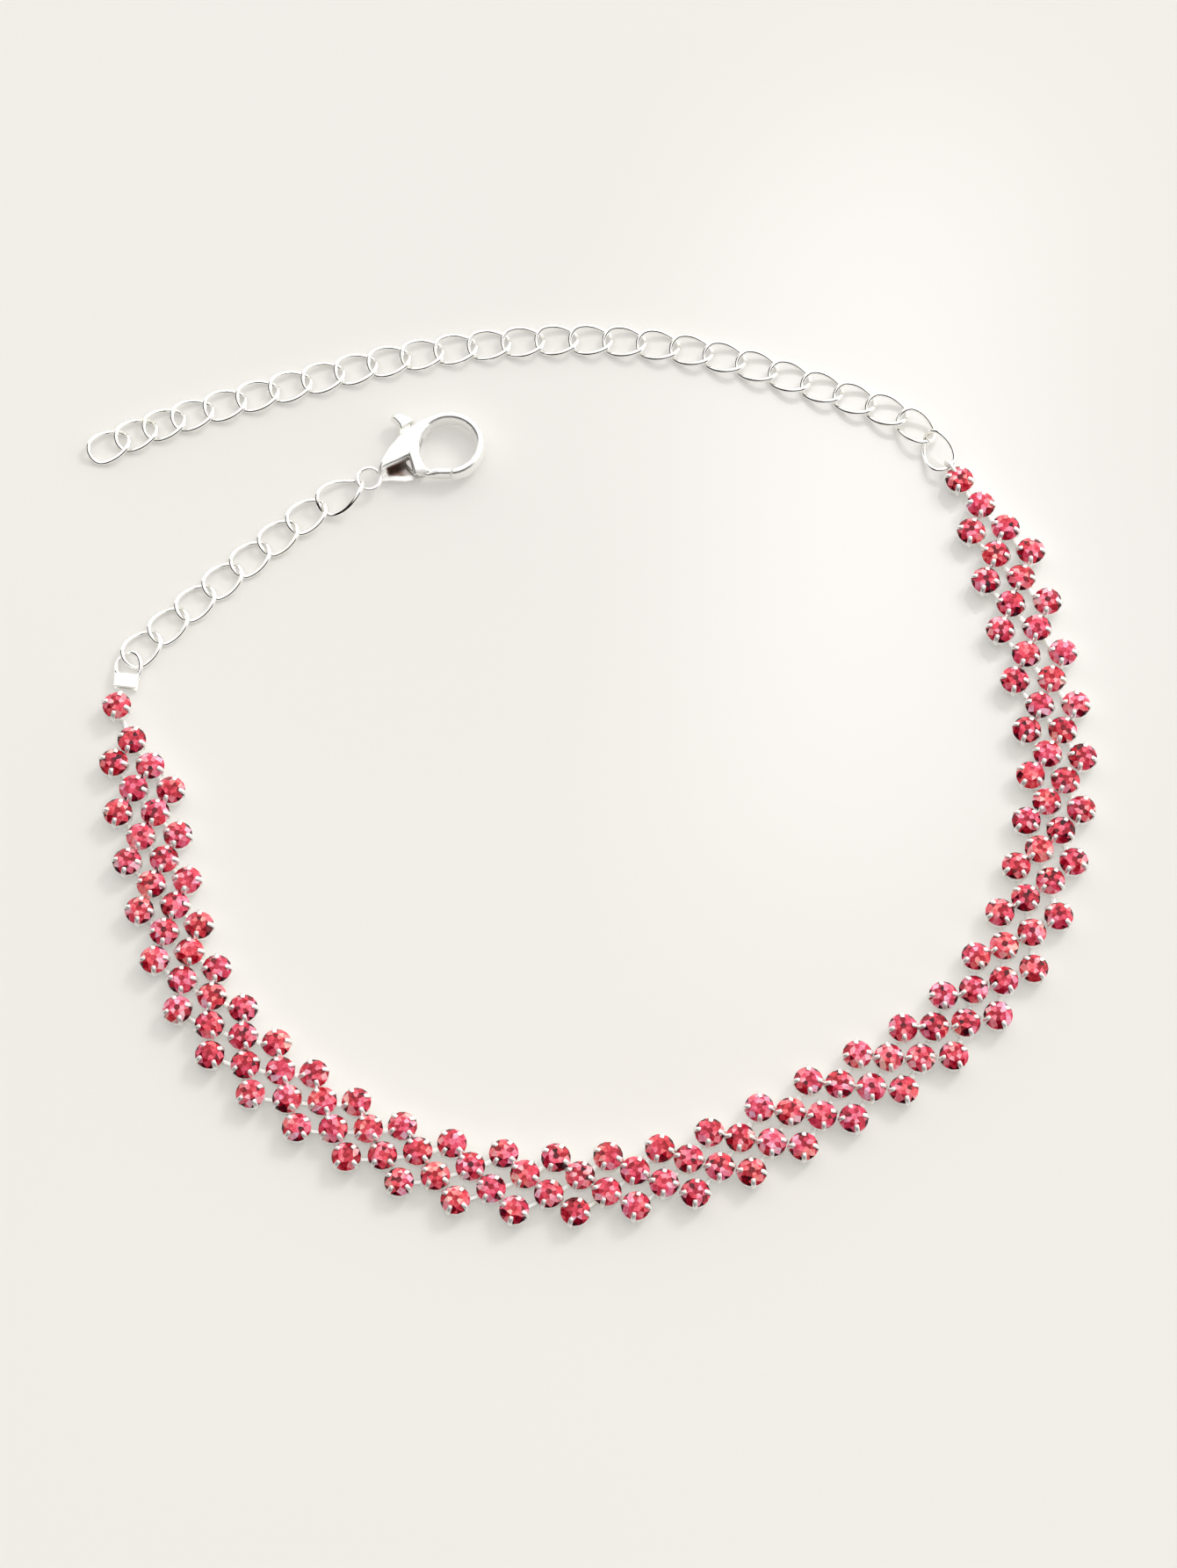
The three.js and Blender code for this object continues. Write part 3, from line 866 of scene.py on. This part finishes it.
def link_shell(length, width, wire, twist, steps=44):
    """A closed ring of round wire. Its middle line is a circle whose two halves are drawn apart
    along X, and each point is then turned about X by the twist for every millimetre of its X."""
    around = np.arange(steps) * TURN / steps
    radius = (width - wire) / 2
    x = radius * np.cos(around) + (length - width) / 2 * np.clip(1.6 * np.cos(around), -1, 1)
    y = radius * np.sin(around)
    angle = -twist * x / MM
    path = np.column_stack([x, y * np.cos(angle), y * np.sin(angle)])
    up = np.column_stack([np.zeros(steps), -np.sin(angle), np.cos(angle)])
    return rod(path, up, wire / 2, wire / 2, closed=True)


def links_shell(names, shape):
    """One copy of a link's shape for each CAD link, in that link's place, flat where it rests."""
    places, turns = zip(*(link_place(name) for name in names))
    points, blocks = repeat_shell(shape, np.array(turns), np.array(places))
    points[:, 2] = np.maximum(points[:, 2], 0)
    return points, blocks


def curb_links(names, chain):
    """Curb links in the places of these nodes."""
    return links_shell(
        names, link_shell(chain.link_length, chain.link_width, chain.wire, chain.link_twist))


class BRACELET_OT_extender(bpy.types.Operator):
    """Add the long run of curb links that sets the size"""
    bl_idname = "bracelet.add_extender"
    bl_label = "Extender links"

    def execute(self, context):
        make_piece(
            "extender_links", curb_links(EXTENDER_NODES, context.scene.bracelet_chain),
            silver_plate("chain_silver"), "bracelet",
            replaced=EXTENDER_NODES, sharp=60)
        return {"FINISHED"}


class BRACELET_OT_short_chain(bpy.types.Operator):
    """Add the short run of curb links and the oval link that holds the clasp"""
    bl_idname = "bracelet.add_short_chain"
    bl_label = "Short chain and oval link"

    def execute(self, context):
        chain = context.scene.bracelet_chain
        silver = silver_plate("chain_silver")
        make_piece(
            "short_chain_links", curb_links(CHAIN_NODES, chain), silver, "bracelet",
            replaced=CHAIN_NODES, sharp=60)
        shape = link_shell(
            chain.oval_length, chain.oval_width, chain.wire, chain.oval_twist, steps=52)
        make_piece(
            "oval_link_ring", links_shell(["oval_link"], shape), silver, "bracelet",
            replaced=["oval_link"], sharp=60)
        return {"FINISHED"}


# The end connector about the middle of its ring: the ring's length, width, wire and twist, how far
# the ring reaches, how far over or under it a leaf lies, and how thick the leaves and the block
# between them are; then the edges of both, as places back along X with half a width there.
CONNECTOR_RING = (3.2 * MM, 2.7 * MM, 0.45 * MM, math.radians(22))
RING_REACH = 1.6 * MM
LEAF_LEVEL = 0.4 * MM
LEAF_THICKNESS, BLOCK_THICKNESS = 0.35 * MM, 1.0 * MM
LEAF_EDGE = [
    (-0.95, 1.18), (-1.1, 1.16), (-1.3, 1.12), (-1.6, 1.1), (-2.0, 1.1), (-2.2, 1.08)]
BLOCK_EDGE = [(-0.92, 1.1), (-1.15, 1.12), (-1.38, 1.08)]


def cushion(edge, level, thickness):
    """A pillow that is alike on both sides of X and above and below its level."""
    back, half = (np.array(edge) * MM).T
    return pillow(
        np.column_stack([back, -half]), np.column_stack([back, half]), level,
        thickness / 2, thickness / 2, sides=16, squareness=0.5)


class BRACELET_OT_connector(bpy.types.Operator):
    """Add the loop with a folded plate that closes over the last cup"""
    bl_idname = "bracelet.add_connector"
    bl_label = "End connector"

    def execute(self, context):
        chain = context.scene.bracelet_chain
        heading = chain.connector_heading
        points = node_vertices("end_connector")
        ahead = np.array([math.cos(heading), math.sin(heading)])
        left = np.array([-ahead[1], ahead[0]])
        reach, span = points[:, :2] @ ahead, points[:, :2] @ left
        centre = ahead * (reach.max() - RING_REACH) + left * (span.max() + span.min()) / 2
        height = (points[:, 2].max() + points[:, 2].min()) / 2
        plate = [cushion(LEAF_EDGE, level, LEAF_THICKNESS) for level in (LEAF_LEVEL, -LEAF_LEVEL)]
        plate.append(cushion(BLOCK_EDGE, 0.0, BLOCK_THICKNESS))
        turn = turn_about_up(heading + chain.connector_turn)
        place = np.array([[*centre, height]])
        make_piece(
            "end_connector_ring", repeat_shell(link_shell(*CONNECTOR_RING), turn, place),
            silver_plate("chain_silver"), "bracelet",
            replaced=["end_connector"], sharp=60)
        make_piece(
            "end_connector_plate", repeat_shell(join_shells(plate), turn, place),
            silver_plate("cup_silver"), "bracelet",
            replaced=["end_connector"], sharp=50)
        return {"FINISHED"}


# ---------------------------------------------------------------- clasp

# The clasp in its own frame, in millimetres from the middle of its eye, with X towards the hook. A
# row of three numbers starts with the share of the way at which the line gets to that place.
CHEEK_SPINE = [
    (0, 1.0, 0.35), (0.1, 1.6, 1.15), (0.24, 2.6, 2.15), (0.42, 3.9, 3.05), (0.6, 5.0, 3.5),
    (0.76, 5.9, 3.85), (0.9, 6.65, 4.06), (1, 7.25, 4.2)]
UPPER_LIP = [
    (0, 1.0, -0.3), (0.08, 1.5, 0.3), (0.16, 2.2, 0.36), (0.25, 2.9, 0.42), (0.38, 3.75, 0.6),
    (0.48, 4.5, 0.7), (0.56, 5.25, 0.8), (0.66, 5.5, 1.7), (0.78, 6.0, 2.45), (0.89, 6.55, 2.95),
    (1, 7.15, 3.35)]
LOWER_LIP = [
    (0, 1.0, -0.35), (0.12, 1.9, -0.5), (0.3, 3.3, -1.05), (0.5, 5.0, -1.2), (0.54, 5.12, -0.3),
    (0.59, 5.25, 0.8), (0.67, 5.5, 1.7), (0.78, 6.0, 2.45), (0.89, 6.55, 2.95), (1, 7.15, 3.35)]
BRIDGE_LOW = [(0, 0.95, -0.28), (0.6, 1.5, 0.0), (1, 1.9, 0.2)]
BRIDGE_HIGH = [(0, 0.95, 0.3), (0.6, 1.5, 0.95), (1, 1.9, 1.4)]
LEG_LEFT = [(3.9, 1.9), (4.08, 0.8), (4.08, -0.3), (4.05, -1.15)]
LEG_RIGHT = [(5.55, 2.1), (5.25, 0.8), (5.25, -0.3), (5.5, -1.25)]
TONGUE = [
    (4.0, -0.5), (4.6, -1.1), (5.6, -1.35), (5.6, -0.85), (5.2, -0.3), (4.95, 0.6), (4.85, 2.6),
    (5.3, 4.3), (4.3, 4.6), (3.95, 3.0), (3.75, 1.0), (3.7, 0.2)]
FIN_LEFT = [(4.25, 3.7), (4.2, 4.3), (4.02, 4.85), (3.72, 5.3)]
FIN_RIGHT = [(5.75, 4.25), (5.45, 4.8), (4.8, 5.3), (3.95, 5.58)]
BRIGHT_RIM = [(1.0, 0.15), (1.9, -0.1), (3.3, -0.6), (5.0, -0.75)]

# The hinge, the middle of the hook's arc and the angles at which it starts and ends, the eye's
# middle radius, and how far from the hinge the gate ends and the hook's tip begins.
HINGE = np.array([4.5, 0.3]) * MM
HOOK_CENTRE = np.array([8.1, 0.95]) * MM
HOOK_START, HOOK_END = 140, -104
EYE_RADIUS = 1.1 * MM
GATE_REACH = 3.65 * MM
TIP_REACH = 3.8 * MM


def line_through(rows, count):
    """A line through corner points, each reached after its share of the way."""
    share, x, y = np.array(rows, float).T
    where = np.linspace(0, 1, count)
    return np.column_stack([np.interp(where, share, x * MM), np.interp(where, share, y * MM)])


def hinge_distance(points):
    """How far points lie from the hinge, in plan."""
    return np.linalg.norm(points[:, :2] - HINGE, axis=1)


def move_to_arc(points, chosen, radius):
    """Moves the chosen points towards the hinge or away from it, onto an arc about it."""
    scale = radius / hinge_distance(points[chosen])
    points[chosen, :2] = HINGE + (points[chosen, :2] - HINGE) * scale[:, None]


def clasp_place(clasp):
    """Where the clasp's own frame lies: its hinge is where the CAD joint is."""
    joint = frame["joints"][0]["pos_m"]
    turn = turn_about_up(clasp.heading)
    place = np.array([joint[0], joint[1], 0.0]) - turn[0] @ [*HINGE, 0.0]
    return turn, place[None]


def clasp_body_shells(clasp):
    """Two cheeks one above the other, flat where they face each other and domed outside, the leg of
    the upper cheek that covers the lever, a bridge between the cheeks at the eye, the hook's bar on
    an arc, and the eye's ring."""
    middle, inner = clasp.thickness / 2, clasp.slot / 2
    dome = middle - inner
    steps, leg_steps, bridge_steps, hook_steps, eye_steps = 61, 25, 9, 64, 40
    spine = line_through(CHEEK_SPINE, steps)
    sunk = np.clip((np.linspace(0, 1, steps) - 0.72) / 0.28, 0, 1)
    sinking = 1 - 0.55 * sunk ** 2 * (3 - 2 * sunk)
    swell = dome * np.maximum(rounded_ends(steps, 0.22, 0.0), 0.06) * sinking
    dip = np.clip((np.linspace(0, 1, leg_steps) - 0.6) / 0.4, 0, 1)
    leg_swell = dome * np.linspace(0.96, 1.0, leg_steps) * (1 - 0.5 * dip ** 2)
    bridge_swell = inner + 0.3 * MM * rounded_ends(bridge_steps, 0.5, 0.0)
    shells = [
        pillow(line_through(UPPER_LIP, steps), spine, middle + inner, swell, 0.0,
               sides=28, squareness=0.5),
        pillow(line_through(LOWER_LIP, steps), spine, middle - inner, 0.0, swell,
               sides=44, squareness=0.5),
        pillow(through(LEG_LEFT, leg_steps) * MM, through(LEG_RIGHT, leg_steps) * MM,
               middle + inner, leg_swell, 0.0, sides=28, squareness=0.5),
        pillow(line_through(BRIDGE_LOW, bridge_steps), line_through(BRIDGE_HIGH, bridge_steps),
               middle, bridge_swell, bridge_swell),
    ]
    angle = np.radians(np.linspace(HOOK_START, HOOK_END, hook_steps))
    path = np.column_stack([
        HOOK_CENTRE[0] + clasp.hook_radius * np.cos(angle),
        HOOK_CENTRE[1] + clasp.hook_radius * np.sin(angle), np.full(hook_steps, middle)])
    ends = np.maximum(rounded_ends(hook_steps, 0.0, 0.02), 0.75)
    root = 1 - 0.35 * np.clip((angle - 2.2) / 0.24, 0, 1) ** 2
    points, blocks = rod(
        path, UPWARD, clasp.hook_width / 2 * root * ends, clasp.hook_depth / 2 * ends,
        sides=24, squareness=0.85)
    tip = np.arange(len(points)) >= len(points) * 0.85
    move_to_arc(points, tip & (hinge_distance(points) < TIP_REACH), TIP_REACH)
    shells.append((points, blocks))
    swing = np.arange(eye_steps) * TURN / eye_steps
    ring = np.column_stack([
        EYE_RADIUS * np.cos(swing), EYE_RADIUS * np.sin(swing), np.full(eye_steps, middle)])
    shells.append(rod(ring, UPWARD, 0.2 * MM, 0.22 * MM, sides=14, closed=True))
    return shells


def clasp_lever_shells(clasp):
    """The tongue between the cheeks, the gate's bar that closes the hook, cut round at its end
    about the hinge, and the fin that a thumb pushes."""
    middle = clasp.thickness / 2
    gate_steps, fin_steps = 24, 18
    tongue = np.array(TONGUE) * MM
    heart = tongue.mean(axis=0)
    levels = np.array([-0.34, -0.28, 0.28, 0.34]) * MM
    insets = np.array([0.96, 1.0, 1.0, 0.96])
    rings = heart + (tongue - heart)[None] * insets[:, None, None]
    heights = np.broadcast_to((middle + levels)[:, None, None], (len(levels), len(tongue), 1))
    points = np.concatenate([rings, heights], axis=2)
    blocks = [band_faces(len(levels), len(tongue)), end_faces(len(levels), len(tongue))]
    shells = [(points.reshape(-1, 3), blocks)]
    along = np.linspace(0, 1, gate_steps)
    path = np.column_stack([
        (5.0 + 2.75 * along) * MM, (-1.0 - 0.86 * along) * MM, np.full(gate_steps, middle)])
    half_width = 0.425 * MM * np.maximum(rounded_ends(gate_steps, 0.12, 0.0), 0.4)
    half_height = 0.75 * MM * np.clip(0.58 + (along - 0.18) * 1.3, 0.58, 1.0)
    points, blocks = rod(path, UPWARD, half_width, half_height, sides=20, squareness=0.75)
    move_to_arc(points, hinge_distance(points) > GATE_REACH, GATE_REACH)
    shells.append((points, blocks))
    swell = 0.65 * MM * np.maximum(rounded_ends(fin_steps, 0.1, 0.3), 0.15)
    shells.append(pillow(
        through(FIN_LEFT, fin_steps) * MM, through(FIN_RIGHT, fin_steps) * MM,
        middle, swell, swell, squareness=0.45))
    return shells


def painted_shade_points(shell, clasp, first, last):
    """How much painted shade each point gets: how far it is inside the gap between the cheeks, from
    one distance from the eye to another and further in than the lower cheek's bright rim. The
    painted shade is less towards the lever."""
    x, y, z = shell[0].T / MM
    rim = np.interp(x, *np.array(BRIGHT_RIM).T)
    inside = np.clip((y - rim) / 0.12, 0, 1) * np.clip((x - first) / 0.2, 0, 1) * (x < last)
    inside *= (np.abs(z - clasp.thickness / MM / 2) < clasp.slot / MM / 2 + 0.02) & (y < 1.7)
    return inside * np.interp(x, [3.0, 4.2], [1.0, 0.3])


class BRACELET_OT_clasp_body(bpy.types.Operator):
    """Add the clasp's cheeks, hook and eye"""
    bl_idname = "bracelet.add_clasp_body"
    bl_label = "Clasp body"

    def execute(self, context):
        clasp = context.scene.bracelet_clasp
        own = join_shells(clasp_body_shells(clasp))
        # Painted shade in the gap between the cheeks, where shade falls.
        make_piece(
            "clasp_shell", repeat_shell(own, *clasp_place(clasp)),
            silver_plate("clasp_silver"), "bracelet",
            replaced=["clasp_body"], sharp=50,
            shade=("painted_shade", painted_shade_points(own, clasp, 1.8, 5.0)))
        return {"FINISHED"}


class BRACELET_OT_clasp_lever(bpy.types.Operator):
    """Add the clasp's sprung lever with its gate and thumb fin"""
    bl_idname = "bracelet.add_clasp_lever"
    bl_label = "Clasp lever"

    def execute(self, context):
        clasp = context.scene.bracelet_clasp
        own = join_shells(clasp_lever_shells(clasp))
        # Painted shade on the tongue in the gap between the cheeks, where shade falls.
        make_piece(
            "clasp_gate", repeat_shell(own, *clasp_place(clasp)),
            silver_plate("clasp_silver"), "lever",
            replaced=["clasp_lever"], sharp=50,
            shade=("painted_shade", painted_shade_points(own, clasp, 3.0, 4.7)))
        return {"FINISHED"}


# ---------------------------------------------------------------- stage

DARK_SIDE = math.radians(245)
DARK_COLOUR, SKY_COLOUR = (0.01, 0.01, 0.01), (1.0, 0.993, 0.975)
FLOOR_SIZE = 3.0
FLOOR_DROP = 0.02 * MM

# Where the lamps stand, in metres: the key lamp from the origin, and each beam from its target.
KEY_PLACE = (1.23, 1.23, 1.46)
KEY_COLOUR = (1.0, 0.985, 0.96)
BEAM_TARGETS = [(0.027, 0.045, 0), (0.027, 0.010, 0)]
BEAM_OFFSET = (0.215, 0.531, 0.614)
BEAM_COLOUR = (0.96, 0.89, 1.0)
CAMERA_TARGET = np.array([0.38, -2.17, 0]) * MM


def sky_world(stage):
    """Even pale light from above and from behind, and a dark room low in front, which bright metal
    shows as thin dark lines. The light is the greater of two numbers: how far a direction is lifted
    over the dark zone's upper limit, and how far it is turned away from the dark side."""
    world = bpy.data.worlds.new("studio")
    world.use_nodes = True
    nodes, links = world.node_tree.nodes, world.node_tree.links
    background = nodes["Background"]
    coordinates = nodes.new("ShaderNodeTexCoord")
    parts = nodes.new("ShaderNodeSeparateXYZ")
    links.new(coordinates.outputs["Generated"], parts.inputs["Vector"])
    low, high = stage.dark_height - 0.07, stage.dark_height + 0.07
    lifted = spread(nodes, links, parts.outputs["Z"], low, high, 0, 1)
    facing = nodes.new("ShaderNodeVectorMath")
    facing.operation = "DOT_PRODUCT"
    facing.inputs[1].default_value = (math.cos(DARK_SIDE), math.sin(DARK_SIDE), 0)
    links.new(coordinates.outputs["Generated"], facing.inputs[0])
    turned = spread(nodes, links, facing.outputs["Value"], 0.1, -0.1, 0, 1)
    light = combine(nodes, links, "MAXIMUM", lifted, turned)
    colour = colour_ramp(nodes, links, light, [(0.0, DARK_COLOUR), (1.0, SKY_COLOUR)])
    links.new(colour, background.inputs["Color"])
    set_inputs(background, {"Strength": stage.sky})
    return world


def add_floor():
    """A square of pale surface, a hair under the bracelet."""
    corners = np.array([[-1, -1, 0], [1, -1, 0], [1, 1, 0], [-1, 1, 0]]) * FLOOR_SIZE / 2
    corners[:, 2] = -FLOOR_DROP
    mesh = bpy.data.meshes.new("floor")
    mesh.from_pydata(corners, [], [[0, 1, 2, 3]])
    mesh.materials.append(pale_floor())
    floor = add_object("floor", mesh)


def add_lamp(name, kind, power, colour, place, target, **shape):
    """A lamp set down at a place and pointed at a target."""
    lamp = bpy.data.lights.new(name, kind)
    lamp.energy, lamp.color = power, colour
    for setting, value in shape.items():
        setattr(lamp, setting, value)
    thing = add_object(name, lamp)
    thing.location = place
    away = np.array(place) - np.array(target)
    tilt = math.atan2(math.hypot(away[0], away[1]), away[2])
    thing.rotation_euler = (tilt, 0, math.atan2(away[0], -away[1]))


def add_camera(stage):
    """The camera, in front of the layout and above it."""
    camera = bpy.data.cameras.new("camera")
    camera.lens = stage.lens
    camera.sensor_width = 36
    camera.clip_start, camera.clip_end = 0.01, 20
    view = add_object("camera", camera)
    view.location = CAMERA_TARGET + stage.distance * np.array(
        [0, -math.cos(stage.elevation), math.sin(stage.elevation)])
    view.rotation_euler = (math.pi / 2 - stage.elevation, 0, 0)
    bpy.context.scene.camera = view


class BRACELET_OT_stage(bpy.types.Operator):
    """Add the pale floor, the soft light and the camera"""
    bl_idname = "bracelet.add_stage"
    bl_label = "Stage"

    def execute(self, context):
        stage = context.scene.bracelet_stage
        add_floor()
        context.scene.world = sky_world(stage)
        add_lamp("key", "AREA", stage.key, KEY_COLOUR, KEY_PLACE, (0, 0, 0), shape="DISK", size=0.7)
        for target in BEAM_TARGETS:
            add_lamp(
                "window_beam", "SPOT", stage.beam, BEAM_COLOUR, np.array(target) + BEAM_OFFSET,
                target, spot_size=math.radians(3.3), spot_blend=1.0, shadow_soft_size=0.012)
        add_camera(stage)
        context.scene.view_settings.view_transform = "Standard"
        return {"FINISHED"}


OPERATORS = [
    BRACELET_OT_stones,
    BRACELET_OT_cups,
    BRACELET_OT_ties,
    BRACELET_OT_extender,
    BRACELET_OT_short_chain,
    BRACELET_OT_connector,
    BRACELET_OT_clasp_body,
    BRACELET_OT_clasp_lever,
    BRACELET_OT_stage,
]


class BRACELET_PT_panel(bpy.types.Panel):
    """The bracelet's pieces and their sizes"""
    bl_idname = "BRACELET_PT_panel"
    bl_label = "Bracelet"
    bl_space_type = "VIEW_3D"
    bl_region_type = "UI"
    bl_category = "Bracelet"

    def draw(self, context):
        """Every setting, then a button for every operator."""
        for name, group in GROUPS.items():
            box = self.layout.box()
            for field in group.__annotations__:
                box.prop(getattr(context.scene, name), field)
        for operator in OPERATORS:
            self.layout.operator(operator.bl_idname)


CLASSES = [*GROUPS.values(), *OPERATORS, BRACELET_PT_panel]


def register():
    """Adds the settings, the operators and the panel."""
    for part in CLASSES:
        bpy.utils.register_class(part)
    for name, group in GROUPS.items():
        setattr(bpy.types.Scene, name, PointerProperty(type=group))


def unregister():
    """Takes them away again."""
    for name in GROUPS:
        delattr(bpy.types.Scene, name)
    for part in reversed(CLASSES):
        bpy.utils.unregister_class(part)


def main():
    """Builds every piece and the stage."""
    register()
    bpy.ops.bracelet.add_stage()
    bpy.ops.bracelet.add_stones()
    bpy.ops.bracelet.add_cups()
    bpy.ops.bracelet.add_ties()
    bpy.ops.bracelet.add_extender()
    bpy.ops.bracelet.add_short_chain()
    bpy.ops.bracelet.add_connector()
    bpy.ops.bracelet.add_clasp_body()
    bpy.ops.bracelet.add_clasp_lever()


if __name__ == "__main__":
    main()
